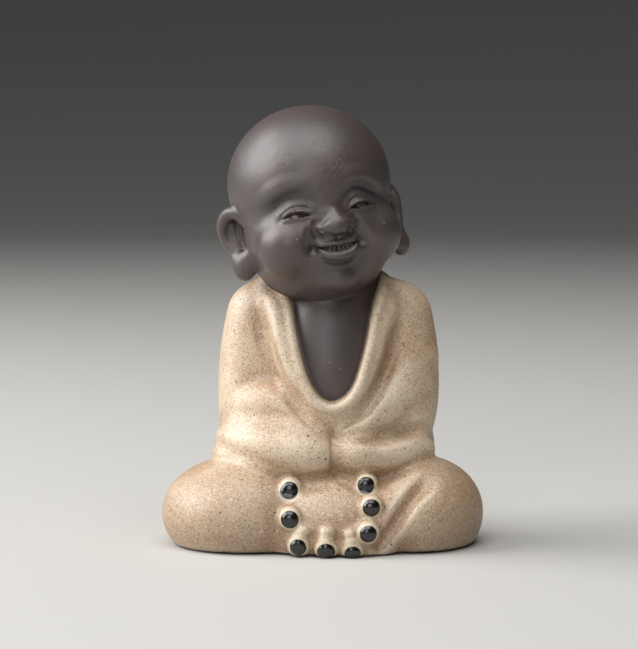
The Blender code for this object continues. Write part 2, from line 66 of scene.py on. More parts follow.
# The middle of the face and of its nose, in parts to the figure's left, and how far the face leans
# to the figure's left on its way up
FACE_MIDDLE = -0.8
FACE_LEAN = 0.05
NOSE_MIDDLE = -0.1

# How the figure's left ear stands to the mirror image of its right one, in parts, and how far its
# lobe is turned out, in degrees
LEFT_EAR_SET_OUT = (0.2, -1.0, -0.7)
LEFT_EAR_SPREAD = -8.0

# How far the middle of the collar's roll lies behind the robe's front, as a share of its radius
COLLAR_SUNK = 0.4

# How wide the joins between clay masses are filled, in parts
MASS_FILL = 2.2
LAPEL_FILL = 1.0
SLEEVE_FILL = 0.9
LAP_FILL = 0.7
BEAD_FILL = 0.4
FIGURE_FILL = 0.25
CHEST_FILL = 1.6
SKULL_FILL = 1.6
NOSE_FILL = 0.7
EAR_FILL = 0.35
HEAD_FILL = 0.3

# How fine the clay is worked, in parts, and how many triangles are left of it
GRAIN = 0.4
FINE_GRAIN = 0.27
TRIANGLES = 170000
FACE_GUARD = 0.9
FACE_GUARD_STRENGTH = 0.0005
POINT_WELD = 1e-5
FOOT_WELD = 0.02
SMOOTH_FACTOR = 0.5
LUMP_SEGMENTS = 64
LUMP_RINGS = 40
ROLL_RESOLUTION = 6

# Edges sharper than this are shaded sharp, in degrees
SHARP_ANGLE = 50

# A Y in front of the whole figure, in parts
AHEAD = -60.0


# Shaping tools


def new_object(name, mesh):
    obj = bpy.data.objects.new(name, mesh)
    bpy.context.scene.collection.objects.link(obj)
    return obj


def evaluated(obj):
    """The mesh of obj as its modifiers leave it. The object itself is removed."""
    graph = bpy.context.evaluated_depsgraph_get()
    mesh = bpy.data.meshes.new_from_object(obj.evaluated_get(graph))
    bpy.data.objects.remove(obj)
    return mesh


def mesh_of(bm, name):
    """The bmesh as a mesh. The bmesh itself is freed."""
    mesh = bpy.data.meshes.new(name)
    bm.to_mesh(mesh)
    bm.free()
    return mesh


def tree_of(mesh):
    bm = bmesh.new()
    bm.from_mesh(mesh)
    tree = BVHTree.FromBMesh(bm)
    bm.free()
    return tree


def joined(meshes, matrix=None):
    """One mesh of all the given ones, welded and placed by the matrix."""
    bm = bmesh.new()
    for mesh in meshes:
        bm.from_mesh(mesh)
    if matrix is not None:
        bm.transform(matrix)
    bmesh.ops.remove_doubles(bm, verts=bm.verts, dist=POINT_WELD)
    return mesh_of(bm, "joined")


def lump(centre, radii, turn=(0, 0, 0)):
    """An ellipsoid of clay. turn is in degrees about X, Y and Z."""
    spin = Euler([math.radians(angle) for angle in turn]).to_matrix().to_4x4()
    bm = bmesh.new()
    bmesh.ops.create_uvsphere(bm, u_segments=LUMP_SEGMENTS, v_segments=LUMP_RINGS, radius=1)
    bm.transform(Matrix.Translation(centre) @ spin @ Matrix.Diagonal((*radii, 1)))
    return mesh_of(bm, "lump")


def smooth_path(points, steps=10):
    """A smooth line through the given points, in any number of columns."""
    rows = np.asarray(points, float)
    rows = np.vstack([2 * rows[0] - rows[1], rows, 2 * rows[-1] - rows[-2]])
    line = []
    for i in range(1, len(rows) - 2):
        before, start, end, after = rows[i - 1 : i + 3]
        for t in np.linspace(0, 1, steps, endpoint=False):
            bend = (2 * before - 5 * start + 4 * end - after) * t**2
            twist = (3 * start - before - 3 * end + after) * t**3
            line.append((2 * start + (end - before) * t + bend + twist) / 2)
    return np.array([*line, rows[-2]])


def roll(points, radii, steps=8):
    """A roll of clay with round ends, running through the points."""
    rows = smooth_path([(*point, radius) for point, radius in zip(points, radii)], steps)
    curve = bpy.data.curves.new("roll", "CURVE")
    curve.dimensions = "3D"
    curve.bevel_depth = 1
    curve.bevel_resolution = ROLL_RESOLUTION
    curve.use_fill_caps = True
    spline = curve.splines.new("POLY")
    spline.points.add(len(rows) - 1)
    for point, row in zip(spline.points, rows):
        point.co = (*row[:3], 1)
        point.radius = row[3]
    tube = evaluated(new_object("roll", curve))
    ends = [lump(row[:3], [row[3]] * 3) for row in (rows[0], rows[-1])]
    return joined([tube, *ends])


def both_sides(make):
    return [make(-1), make(1)]


def smoothing_steps(width, grain):
    """How many steps of smoothing reach over about that width."""
    return max(1, round(4 * (width / grain) ** 2))


def add_smoothing(obj, steps):
    smooth = obj.modifiers.new("Smooth", "SMOOTH")
    smooth.factor = SMOOTH_FACTOR
    smooth.iterations = steps


def pressed(meshes, fill, grain=GRAIN):
    """The meshes as one skin of clay, its inner corners filled over about the width of fill."""
    obj = new_object("pressed", joined(meshes))
    press = obj.modifiers.new("Press together", "REMESH")
    press.mode = "VOXEL"
    press.voxel_size = grain
    add_smoothing(obj, smoothing_steps(fill, grain))
    return evaluated(obj)


def cut(mesh, cutter):
    """The mesh with the cutter's space taken out."""
    obj = new_object("cut", mesh)
    tool = new_object("cutter", cutter)
    trim = obj.modifiers.new("Cut", "BOOLEAN")
    trim.operation = "DIFFERENCE"
    trim.solver = "EXACT"
    trim.object = tool
    made = evaluated(obj)
    bpy.data.objects.remove(tool)
    return made


def points_and_normals(mesh):
    points = np.empty(len(mesh.vertices) * 3, np.float32)
    mesh.vertices.foreach_get("co", points)
    normals = np.empty(len(mesh.vertices) * 3, np.float32)
    mesh.vertex_normals.foreach_get("vector", normals)
    return points.reshape(-1, 3).astype(float), normals.reshape(-1, 3).astype(float)


def move_points(mesh, points):
    mesh.vertices.foreach_set("co", points.astype(np.float32).ravel())
    mesh.update()


def smoothed_points(mesh, steps):
    obj = new_object("smoothed", mesh.copy())
    add_smoothing(obj, steps)
    return points_and_normals(evaluated(obj))[0]


def ease(start, end, value):
    """0 before start, 1 after end and a smooth rise between them. start may be above end."""
    t = np.clip((value - start) / (end - start), 0, 1)
    return t * t * (3 - 2 * t)


def nearest_on(line, points):
    """For each point, its distance to the line and how far along the line that is, from 0 to 1."""
    best = np.full(len(points), np.inf)
    along = np.zeros(len(points))
    lengths = np.linalg.norm(np.diff(line, axis=0), axis=1)
    reached = np.r_[0, np.cumsum(lengths)] / lengths.sum()
    for i, (start, end) in enumerate(zip(line[:-1], line[1:])):
        run = end - start
        share = np.clip((points - start) @ run / (run @ run), 0, 1)
        distance = np.linalg.norm(points - start - share[:, None] * run, axis=1)
        nearer = distance < best
        best[nearer] = distance[nearer]
        along[nearer] = reached[i] + share[nearer] * (reached[i + 1] - reached[i])
    return best, along


def stroke(flat, path, width, height, fade=0.25):
    """Height of a tool's stroke along a path, over points seen flat, fading at both ends."""
    line = smooth_path(path)
    close = np.all((flat > line.min(0) - width) & (flat < line.max(0) + width), axis=1)
    raised = np.zeros(len(flat))
    if not close.any():
        return raised
    distance, along = nearest_on(line, flat[close])
    profile = np.clip(1 - (distance / width) ** 2, 0, 1) ** 2
    if fade:
        profile *= ease(0, fade, along) * ease(0, fade, 1 - along)
    raised[close] = height * profile
    return raised


def dab(flat, centre, radii, height, turn=0.0):
    """Height of a soft round dab of clay, or of a thumb mark where the height is negative."""
    cos, sin = math.cos(math.radians(turn)), math.sin(math.radians(turn))
    off = flat - np.array(centre)
    across = (off[:, 0] * cos + off[:, 1] * sin) / radii[0]
    up = (off[:, 1] * cos - off[:, 0] * sin) / radii[1]
    return height * np.clip(1 - across**2 - up**2, 0, 1) ** 2


# The robe


def legs():
    """The crossed legs under the robe: two knees, the lap and the right shin folded in."""
    left_knee = lump((-18.0, -8.5, 7.0), (18.8, 19.6, 13.2), (0, 2, 8))
    right_knee = lump((22.0, -8.0, 7.0), (14.9, 19.0, 13.2), (0, -2, -14))
    seat = lump((0.5, 2.0, 6.0), (28.0, 22.0, 15.0))
    lap = lump((2.5, -10.5, 4.0), (22.0, 18.6, 14.5))
    shin = roll(
        [(10.5, -23.5, 1), (15.5, -21.5, 7.5), (21.5, -16.5, 13), (26, -10, 15)],
        [5.5, 5.5, 5, 4.5],
    )
    return pressed([left_knee, right_knee, seat, lap, shin], MASS_FILL)


def trunk():
    """Back, hips, shoulders and upper arms."""
    back = lump((1.4, 2.5, 36), (20.5, 15.0, 31))
    waist = lump((1.4, 4.5, 27), (19.5, 14.8, 25))
    hips = lump((1.4, 2.5, 21), (25.0, 17.6, 18))
    shoulders = roll([(-10.2, 3.5, 52.3), (1.4, 5.5, 54.5), (13.7, 3.5, 51.6)], [9, 8, 9])
    left_arm = roll(
        [(-13.6, 2.5, 51.2), (-15.2, 0.5, 42), (-15.7, -2.0, 30), (-14.5, -4, 26)],
        [8.8, 8.7, 8.5, 8.4],
    )
    right_arm = roll(
        [(16.7, 2.5, 51.0), (18.1, 0.5, 43), (18.4, -1.5, 33), (18.0, -3, 29)],
        [9.1, 9.0, 8.8, 8.4],
    )
    return pressed([back, waist, hips, shoulders, left_arm, right_arm], MASS_FILL)


def lapels():
    """The band of the robe round the neck opening and across the nape."""
    meeting = (1.8, -14.6, 29.6)
    left_top = (-12.3, 0.3, 58.4)
    right_top = (14.3, 1.0, 56.6)
    down_left = [(-10.5, -5.5, 54), (-9.3, -9.6, 47), (-6.2, -12.4, 38.5), (-2.2, -14, 32.5)]
    left = roll([left_top, *down_left, meeting], [3.2, 3.8, 4.2, 4.2, 4.0, 3.8])
    down_right = [(14.0, -5.5, 54), (12.8, -9.6, 47), (9.8, -12.4, 38.5), (5.8, -14, 32.5)]
    right = roll([right_top, *down_right, meeting], [3.2, 3.6, 3.8, 3.8, 3.8, 3.8])
    behind = [(-8.5, 7.5, 58.5), (-3.5, 11, 59.5), (2, 12, 60), (7.5, 11, 59.8), (12.3, 7.5, 59)]
    nape = roll([left_top, *behind, right_top], [3.3] * 7)
    return [left, right, nape]


def sleeves():
    """The wide sleeves, which meet over the lap, and the drape from the right shoulder."""
    left = lump((-9.8, -10.6, 22.8), (16.2, 9.6, 7.2), (0, 6, -31))
    left_top = lump((-10.3, -8.0, 29.3), (12.4, 8.0, 8.3), (0, 14, -26))
    left_middle = lump((-9.4, -9.6, 26.0), (14.6, 8.7, 6.6), (0, 8, -29))
    left_end = lump((-4.6, -14.9, 22.5), (7.5, 6.4, 6.0), (0, 4, -14))
    left_flare = lump((-17.0, -6.8, 19.8), (8.4, 8.6, 4.2), (0, 10, -24))
    left_fall = lump((-12.8, -11.4, 18.6), (9.5, 8.0, 4.2), (0, 10, -28))
    right = lump((13.0, -10.2, 21.2), (14.2, 9.0, 5.6), (0, -2, 29))
    right_end = lump((8.5, -14.9, 21.5), (6.7, 6.0, 5.5), (0, -2, 14))
    drape = roll(
        [(20, -1.0, 42), (17.8, -5.8, 35.5), (12, -11.4, 30.3), (5.2, -14.8, 27.4)],
        [7.0, 6.2, 4.8, 3.6],
    )
    lefts = [left, left_top, left_middle, left_end, left_flare, left_fall]
    return [*lefts, right, right_end, drape]


def on_front(points, normals):
    """How far each point of the robe belongs to its front, from 0 to 1."""
    return ease(0.2, -0.1, normals[:, 1]) * ease(6, 2, points[:, 1])


def on_back(points, normals):
    return ease(0, 0.3, normals[:, 1]) * ease(2, 6, points[:, 1])


def crease_robe(mesh):
    """Carves the folds of the robe, on the side that each is seen from."""
    points, normals = points_and_normals(mesh)
    flat = points[:, [0, 2]]
    fold = np.zeros(len(points))
    # beside the lapels
    beside_left = [(-13.8, 56), (-13.4, 50), (-12, 45), (-10, 40), (-7.7, 35.9), (-1.2, 28.4)]
    fold -= stroke(flat, beside_left, 3.0, 1.6)
    beside_right = [(16.6, 54), (16.2, 48), (15.2, 43), (11.3, 34), (7.5, 29.5), (3.2, 26.8)]
    fold -= stroke(flat, beside_right, 2.6, 1.3)
    # at the bend of the right elbow
    elbow = [(25.5, 28.4), (23.5, 27.6), (21, 26.5), (16.5, 25.4), (9.7, 25.2), (5.2, 26.1)]
    fold -= stroke(flat, elbow, 2.2, 1.1, 0.35)
    # where the sleeve ends meet
    fold -= stroke(flat, [(2.0, 29), (2.4, 24.4), (2.5, 21), (2.5, 15.5)], 1.1, 0.5, 0.15)
    # under the sleeve hems
    left_hem = [(-13.5, 17.6), (-10.5, 16.2), (-7.8, 15.2), (-4.5, 14.6), (-0.4, 15.0), (3, 16.4)]
    fold -= stroke(flat, left_hem, 1.6, 0.6, 0.4)
    right_hem = [(3.6, 16.6), (6.7, 15.2), (11.2, 14.8), (16.4, 17.1), (22, 19.2)]
    fold -= stroke(flat, right_hem, 1.6, 0.8)
    # up from the three beads in front
    for path in [(-5.1, 2.7), (-3.2, 6.8)], [(0.9, 2.2), (1.5, 6.6)], [(6.6, 2.0), (5.9, 6.2)]:
        fold += stroke(flat, path, 2.2, 1.0, 0.15)
    # in front of the right knee
    shin_front = [(25.9, 17.6), (23.2, 15.3), (20, 12.5), (14.9, 5.0), (12.6, 1.4), (11, -1.5)]
    fold -= stroke(flat, shin_front, 2.6, 1.9)
    # down the back, from the shoulders towards the hips, and behind the arms
    drape = np.zeros(len(points))
    across_back = [(-11, 51), (-8.5, 43), (-1.5, 34.5), (8.5, 28), (19, 24)]
    drape -= stroke(flat, across_back, 3.4, 1.0, 0.35)
    drape -= stroke(flat, [(-13.5, 38), (-9, 30.5), (-0.5, 24), (10, 19.5)], 3.0, 0.8, 0.35)
    drape -= stroke(flat, [(9.5, 53), (9.5, 46), (5.5, 38.5)], 3.0, 0.7, 0.35)
    drape -= stroke(flat, [(-14.2, 47), (-13.6, 40), (-14.6, 30), (-17, 23)], 2.6, 0.9, 0.3)
    drape -= stroke(flat, [(16.4, 48), (15.8, 40), (17, 31), (20, 24)], 2.6, 0.9, 0.3)
    raised = fold * on_front(points, normals) + drape * on_back(points, normals)
    move_points(mesh, points + normals * raised[:, None])


def robe():
    dressed = pressed([trunk(), *lapels()], LAPEL_FILL)
    draped = pressed([dressed, *sleeves()], SLEEVE_FILL)
    whole = pressed([legs(), draped], LAP_FILL)
    crease_robe(whole)
    return whole


# The neck opening, as seen from the front

OPENING = [
    (-10.6, 66.0),
    (-8.2, 58.2),
    (-6.7, 54.5),
    (-5.9, 49.5),
    (-4.7, 43.8),
    (-3.1, 38.6),
    (-0.9, 34.8),
    (1.9, 33.1),
    (5.0, 34.2),
    (7.2, 37.0),
    (8.8, 41.6),
    (10.2, 47.2),
    (11.2, 52.9),
    (12.7, 58.2),
    (14.6, 66.0),
]
OPENING_BACK = 5.0
COLLAR_TOP = 60.0


def opening_cutter():
    """A prism of the neck opening's outline, from in front of the chest to its back."""
    bm = bmesh.new()
    face = bm.faces.new([bm.verts.new((x, AHEAD, z)) for x, z in smooth_path(OPENING, 6)])
    made = bmesh.ops.extrude_face_region(bm, geom=[face])["geom"]
    moved = [item for item in made if isinstance(item, bmesh.types.BMVert)]
    bmesh.ops.translate(bm, verts=moved, vec=(0, OPENING_BACK - AHEAD, 0))
    bmesh.ops.recalc_face_normals(bm, faces=bm.faces)
    return mesh_of(bm, "opening")


def front_finder(mesh):
    """A function that gives the Y of the mesh's front at a place seen from the front."""
    tree = tree_of(mesh)

    def front(x, z):
        hit = tree.ray_cast(Vector((x, AHEAD, z)), Vector((0, 1, 0)))
        return hit[0].y

    return front


def collar_roll(front):
    """The rolled edge of the cloth along the neck opening."""
    radius = COLLAR_ROLL_RADIUS / PART
    edge = smooth_path(OPENING, 3)
    along = np.gradient(edge, axis=0)
    outward = np.column_stack([along[:, 1], -along[:, 0]]) / np.linalg.norm(along, axis=1)[:, None]
    below_top = [(x, z) for x, z in edge + radius * outward if z < COLLAR_TOP]
    middle = [(x, front(x, z) + COLLAR_SUNK * radius, z) for x, z in below_top]
    return roll(middle, [radius] * len(middle), steps=2)


# The prayer beads, seen from the front, from the top left one round to the top right one

BEADS = [
    (-7.1, 14.1),
    (-7.1, 8.3),
    (-5.1, 2.7),
    (0.9, 2.2),
    (6.6, 2.0),
    (10.1, 5.5),
    (10.9, 10.8),
    (9.9, 15.0),
]


def bead_balls(front):
    """The radius of the beads and the middle of each. BEAD_PROUD of it stands out of the robe."""
    radius = BEAD_RADIUS / PART
    sunk = radius - BEAD_PROUD / PART
    return radius, [(x, front(x, z) + sunk, z) for x, z in BEADS]


def beads(front):
    radius, middles = bead_balls(front)
    return [lump(middle, (radius, radius, radius)) for middle in middles]


# The head, in its own frame: X to its left ear, -Y forward, Z up


def head_matrix():
    tilt = Matrix.Rotation(math.radians(HEAD_TILT), 4, "Y")
    turn = Matrix.Rotation(math.radians(HEAD_TURN), 4, "Z")
    return Matrix.Translation(HEAD_CENTRE) @ tilt @ turn


def skull():
    cranium = lump((0.3, 1.5, 5.2), (18.7, 20.4, 17.8))
    jaw = lump((0, -1.5, -5.2), (17.3, 17.0, 17.9))
    cheeks = both_sides(lambda side: lump((side * 9.2, -9.2, -8.0), (7.8, 7.4, 7.6)))
    chin = lump((0, -11.6, -15.2), (6.2, 5.2, 4.8))
    muzzle = lump((0, -13.2, -9.8), (7.0, 5.2, 5.0))
    return pressed([cranium, jaw, *cheeks, chin, muzzle], SKULL_FILL)


def nose():
    ridge = [(-0.7, -15.6, 1.8), (-0.5, -17.2, -1.5), (NOSE_MIDDLE, -18.8, -3.8)]
    bridge = roll(ridge, [1.6, 1.75, 2.1])
    tip = lump((NOSE_MIDDLE, -18.7, -4.4), (3.4, 2.6, 2.3))
    wings = both_sides(lambda side: lump((NOSE_MIDDLE + side * 3.3, -17.4, -4.9), (2.1, 2.5, 1.8)))
    return [bridge, tip, *wings]


def ear(side):
    """A long ear: a rim curling round an open cup, the inner ridge in it, and a full lobe."""
    back = lump((side * 16.2, 4.4, -5.2), (2.2, 4.2, 6.6), (0, 0, side * -38))
    rim = roll(
        [
            (side * 16.4, -0.6, -1.4),
            (side * 17.6, 0.4, 0.8),
            (side * 19.4, 2.6, 1.1),
            (side * 20.8, 4.4, -1.4),
            (side * 20.6, 4.4, -4.8),
            (side * 19.4, 3.0, -8.0),
            (side * 18.6, 1.8, -10.4),
        ],
        [1.3, 1.55, 1.6, 1.45, 1.25, 1.3, 1.9],
    )
    ridge = roll(
        [(side * 18.4, 3.4, -1.4), (side * 18.6, 3.6, -4.2), (side * 18.0, 2.4, -7.2)],
        [0.8, 0.9, 0.8],
    )
    lobe = lump((side * 18.0, 0.9, -11.1), (2.3, 3.2, 3.5), (0, 0, side * -30))
    root = lump((side * 16.4, -0.6, -9.8), (1.8, 1.8, 3.4))
    made = pressed([back, rim, ridge, lobe, root], EAR_FILL)
    if side < 0:
        return made
    middle = Vector((17, 0, -5))
    spread = Matrix.Rotation(math.radians(LEFT_EAR_SPREAD), 4, "Y")
    set_out = Matrix.Translation(middle + Vector(LEFT_EAR_SET_OUT))
    return joined([made], set_out @ spread @ Matrix.Translation(-middle))


# Lines of the face, as distances from its middle and heights

CREASE = [
    (12.4, -1.5),
    (11.2, -1.1),
    (10.2, -0.5),
    (9.0, 0.4),
    (7.8, 0.85),
    (6.5, 0.9),
    (5.2, 0.4),
    (4.3, -0.4),
    (3.7, -1.0),
]
LASHES = [
    (12.2, -1.9),
    (11.2, -1.6),
    (10.0, -1.0),
    (8.9, -0.5),
    (7.7, -0.3),
    (6.6, -0.4),
    (5.6, -0.8),
    (4.6, -1.3),
    (3.7, -1.6),
]
LOWER_LID = [(11.2, -1.9), (9.6, -1.4), (8.1, -1.45), (6.6, -1.5), (5.1, -1.45)]
LIP_ABOVE = [(0, -8.65), (1.8, -8.6), (3.4, -8.55), (4.9, -8.6)]
LIP_BELOW = [(0, -10.2), (1.7, -10.05), (3.3, -9.6), (4.4, -9.0), (4.9, -8.65)]
TOOTH_WIDTH = 1.02

# The box that the carving of the face keeps within, in the head's frame
FACE_BOX = np.array([(-17, -40, -20), (17, -4, 10)])


def level(path, side):
    """The height of a line across the face at each distance from its middle."""
    line = smooth_path(sorted(path))
    return np.interp(side, line[:, 0], line[:, 1])


def eye_relief(flat):
    """The hollow under the brow and the smiling eye, open a little between its lids."""
    side, up = flat.T
    relief = np.zeros(len(flat))
    socket = [(13.4, -1.4), (12.2, 0), (9.8, 2), (7.6, 2.7), (5.4, 2.4), (3.6, 1), (3, -1.4)]
    relief -= stroke(flat, socket, 3.0, 0.9, 0.3)
    under_brow = [(12.9, -0.2), (11.9, 1.3), (10.6, 2.6), (9.0, 3.5), (6.4, 4.0), (4.2, 3.2)]
    relief -= stroke(flat, under_brow, 1.8, 0.35, 0.3)
    brow = [(13.8, 1.0), (12.2, 4.0), (9.6, 5.9), (6.3, 6.3), (3.2, 5.0)]
    relief += stroke(flat, brow, 2.8, 0.35, 0.3)
    relief += dab(flat, (7.8, 0.1), (5.6, 2.8), 0.9, -4)
    relief -= stroke(flat, CREASE, 0.55, 0.5, 0.25)
    roll_line = [((x + a) / 2, (z + b) / 2) for (x, z), (a, b) in zip(CREASE, LASHES)]
    relief += stroke(flat, roll_line, 0.75, 0.25, 0.2)
    relief -= stroke(flat, LASHES, 0.5, 0.6, 0.2)
    opened = ease(0, 0.3, level(LASHES, side) - up) * ease(0, 0.3, up - level(LOWER_LID, side))
    opened *= ease(4.9, 5.7, side) * ease(10.8, 9.8, side)
    relief -= 0.9 * opened
    relief += dab(flat, (7.6, -1.0), (1.3, 0.8), 0.7)
    relief += stroke(flat, [(x, z - 0.45) for x, z in LOWER_LID], 0.7, 0.12, 0.2)
    return relief


def mouth_relief(flat):
    """The lips, laughing over the upper teeth."""
    side, up = flat.T
    relief = dab(flat, (0, -9.4), (7.0, 4.6), 1.0)
    relief += stroke(flat, [(4.9, -8.25), (3.3, -7.9), (1.6, -7.7), (0, -8.05)], 1.0, 0.35, 0)
    full = ease(5.1, 2.6, side)
    lower_lip = [(4.7, -9.6), (3.3, -10.45), (1.7, -11.05), (0, -11.2)]
    relief += full * stroke(flat, lower_lip, 1.35, 1.0, 0)
    opened = ease(0, 0.35, level(LIP_ABOVE, side) - up)
    opened *= ease(0, 0.35, up - level(LIP_BELOW, side))
    tooth = 0.5 + 0.5 * np.abs(np.cos(np.pi * side / TOOTH_WIDTH))
    teeth = ease(-10.0, -9.85, up) * ease(3.7, 3.3, side) * tooth
    relief += opened * (1.0 * teeth - 1.6)
    relief -= dab(flat, (5.4, -8.8), (1.7, 1.5), 0.7)
    under_lip = [(4.4, -10.9), (3.1, -11.8), (1.6, -12.5), (0, -12.7)]
    relief -= full * stroke(flat, under_lip, 1.1, 0.7, 0)
    relief -= stroke(flat, [(0, -6.7), (0, -7.7)], 0.7, 0.35, 0)
    return relief


def face_relief(across, up):
    """How far the carving stands above the smooth head, at places seen from its front."""
    flat = np.stack([np.abs(across - FACE_MIDDLE + FACE_LEAN * up), up], axis=1)
    by_nose = np.stack([np.abs(across - NOSE_MIDDLE), up], axis=1)
    relief = eye_relief(flat) + mouth_relief(flat)
    # the cheek and the fold from the nose to the corner of the mouth
    relief += dab(flat, (10.2, -6.4), (8.2, 7.0), 1.2)
    smile_fold = [(3.9, -3.5), (4.5, -5.5), (5.4, -7.3), (6.2, -9.2), (6.7, -10.8)]
    relief -= stroke(flat, smile_fold, 2.8, 1.1)
    # chin, nostrils and the crease round the wings of the nose
    relief += dab(flat, (0, -17.0), (4.4, 3.2), 0.6)
    relief -= dab(by_nose, (2.3, -6.2), (0.9, 0.6), 1.2)
    relief -= stroke(by_nose, [(2.7, -2.6), (3.9, -3.4), (4.4, -4.8), (4.0, -6.2)], 0.9, 0.5)
    return relief


def face_places(points, normals):
    """Each point in the head's frame, and how squarely it faces forward there, from 0 to 1."""
    low, high = FACE_BOX
    inverse = np.array(head_matrix().inverted())
    local = points @ inverse[:3, :3].T + inverse[:3, 3]
    forward = -(normals @ inverse[:3, :3].T)[:, 1]
    on_face = np.all((local > low) & (local < high), axis=1)
    return local, ease(-0.05, 0.35, forward) * on_face


def carve_face(mesh):
    points, normals = points_and_normals(mesh)
    local, weight = face_places(points, normals)
    relief = face_relief(local[:, 0], local[:, 2])
    move_points(mesh, points + normals * (relief * weight)[:, None])


def head():
    face = pressed([skull(), *nose()], NOSE_FILL)
    whole = pressed([face, *both_sides(ear)], HEAD_FILL)
    return joined([whole], head_matrix())


def neck_and_chest():
    neck = lump((1.2, 1.5, 56), (12.6, 12.0, 15.0))
    chest = lump((1.8, CHEST_BEHIND_COLLAR / PART, 38), (14.6, 15.6, 27))
    return [pressed([neck, chest], CHEST_FILL)]


# The whole figure


def round_foot(mesh):
    """Draws the sides in just above the foot, as the quarter round of a wiped edge."""
    radius = FOOT_EDGE_RADIUS / PART
    points, normals = points_and_normals(mesh)
    below = np.clip(radius - points[:, 2], 0, radius)
    inward = radius - np.sqrt(radius**2 - below**2)
    sideways = normals * (1, 1, 0)
    length = np.linalg.norm(sideways, axis=1)
    sideways /= np.maximum(length, 1e-6)[:, None]
    move_points(mesh, points - sideways * (inward * ease(0, 0.3, length))[:, None])


def islands(bm):
    """The connected pieces of a mesh, as lists of points."""
    left = set(bm.verts)
    found = []
    while left:
        piece = [left.pop()]
        for vert in piece:
            near = [edge.other_vert(vert) for edge in vert.link_edges]
            piece += [other for other in near if other in left]
            left.difference_update(near)
        found.append(piece)
    return found


def stood_flat(mesh):
    """The outer skin of the figure alone, trimmed flat at Z = 0 and closed there."""
    bm = bmesh.new()
    bm.from_mesh(mesh)
    pieces = sorted(islands(bm), key=len)
    bmesh.ops.delete(bm, geom=[vert for piece in pieces[:-1] for vert in piece], context="VERTS")
    everything = [*bm.verts, *bm.edges, *bm.faces]
    ground = {"plane_co": (0, 0, 0), "plane_no": (0, 0, 1)}
    bmesh.ops.bisect_plane(bm, geom=everything, **ground, clear_inner=True)
    corners = [vert for vert in bm.verts if vert.is_boundary]
    bmesh.ops.remove_doubles(bm, verts=corners, dist=FOOT_WELD)
    rim = [edge for edge in bm.edges if edge.is_boundary]
    foot = bmesh.ops.triangle_fill(bm, edges=rim, use_beauty=True, normal=(0, 0, -1))["geom"]
    faces = [item for item in foot if isinstance(item, bmesh.types.BMFace)]
    bmesh.ops.reverse_faces(bm, faces=[face for face in faces if face.normal.z > 0])
    bm.to_mesh(mesh)
    bm.free()
    return mesh


def simplified(mesh):
    """The mesh with few triangles, which stay smaller on the face than elsewhere."""
    points, normals = points_and_normals(mesh)
    on_face = np.flatnonzero(face_places(points, normals)[1] > 0.5)
    obj = new_object("simplified", mesh)
    guarded = obj.vertex_groups.new(name="Face")
    guarded.add(on_face.tolist(), FACE_GUARD, "REPLACE")
    above_ground = [face for face in mesh.polygons if face.center.z > 0]
    reduce = obj.modifiers.new("Simplify", "DECIMATE")
    reduce.ratio = TRIANGLES / sum(len(face.vertices) - 2 for face in above_ground)
    reduce.vertex_group = guarded.name
    reduce.invert_vertex_group = True
    reduce.vertex_group_factor = FACE_GUARD_STRENGTH
    return evaluated(obj)


# The glaze drops on the beads

DROP_RADII = [2.1, 2.15, 2.0, 2.2, 2.0, 2.05, 2.1, 2.0]
DROP_HEIGHT = 0.22
DROP_EDGE = 0.9
# Which way each drop faces, from the top left bead round to the top right one
DROP_FACING = [
    (-0.10, -1, 0.05),
    (-0.05, -1, 0.05),
    (-0.10, -1, -0.15),
    (0.0, -1, -0.35),
    (0.10, -1, -0.45),
    (0.1, -1, -0.05),
    (0.05, -1, 0.05),
    (0.0, -1, 0.1),
]


def drop_centres(front):
    radius, middles = bead_balls(front)
    return [
        Vector(middle) + radius * Vector(facing).normalized()
        for middle, facing in zip(middles, DROP_FACING)
    ]


def from_drops(points, centres):
    """Distance past the rim of the nearest drop, below 0 inside it."""
    away = [
        np.linalg.norm(points - np.array(centre), axis=1) - radius
        for centre, radius in zip(centres, DROP_RADII)
    ]
    return np.min(away, axis=0)


def raise_drops(mesh, centres):
    points, normals = points_and_normals(mesh)
    inside = ease(0, DROP_EDGE, -from_drops(points, centres))
    move_points(mesh, points + normals * (DROP_HEIGHT * inside)[:, None])


# Crisp lines that the potter's knife left in the folds, as seen from the front

KNIFE_LINES = [
    [(25.5, 28.0), (22.5, 26.6), (18.0, 25.3), (12.0, 24.6), (6.5, 25.1), (3.4, 26.4)],
    [(-9.5, 37.2), (-6.8, 32.6), (-3.4, 28.9), (0.6, 26.6)],
    [(10.4, 31.2), (7.2, 28.6), (3.4, 26.6)],
    [(1.9, 28.2), (2.3, 24.4), (2.4, 20.5), (2.3, 16.4)],
    [(-4.0, 14.5), (-2.2, 14.4), (0.2, 14.9), (2.3, 16.0)],
    [(2.9, 16.2), (4.4, 15.6), (6.6, 15.1)],
    [(13.4, 15.5), (15.6, 16.4), (18.6, 17.9)],
]
KNIFE_WIDTH = 0.8
KNIFE_DEPTH = 0.28

# The swelling of the cloth above each of the three front beads
SWELL_ABOVE = 3.0
SWELL_RADII = (2.7, 3.0)
SWELL_HEIGHT = 0.6


def touch_up_robe(mesh):
    """Draws the knife's lines and fills out the ridges above the front beads."""
    points, normals = points_and_normals(mesh)
    flat = points[:, [0, 2]]
    raised = np.zeros(len(points))
    for line in KNIFE_LINES:
        raised -= stroke(flat, line, KNIFE_WIDTH, KNIFE_DEPTH, 0.35)
    for x, z in BEADS[2:5]:
        raised += dab(flat, (x, z + SWELL_ABOVE), SWELL_RADII, SWELL_HEIGHT)
    move_points(mesh, points + normals * (raised * on_front(points, normals))[:, None])


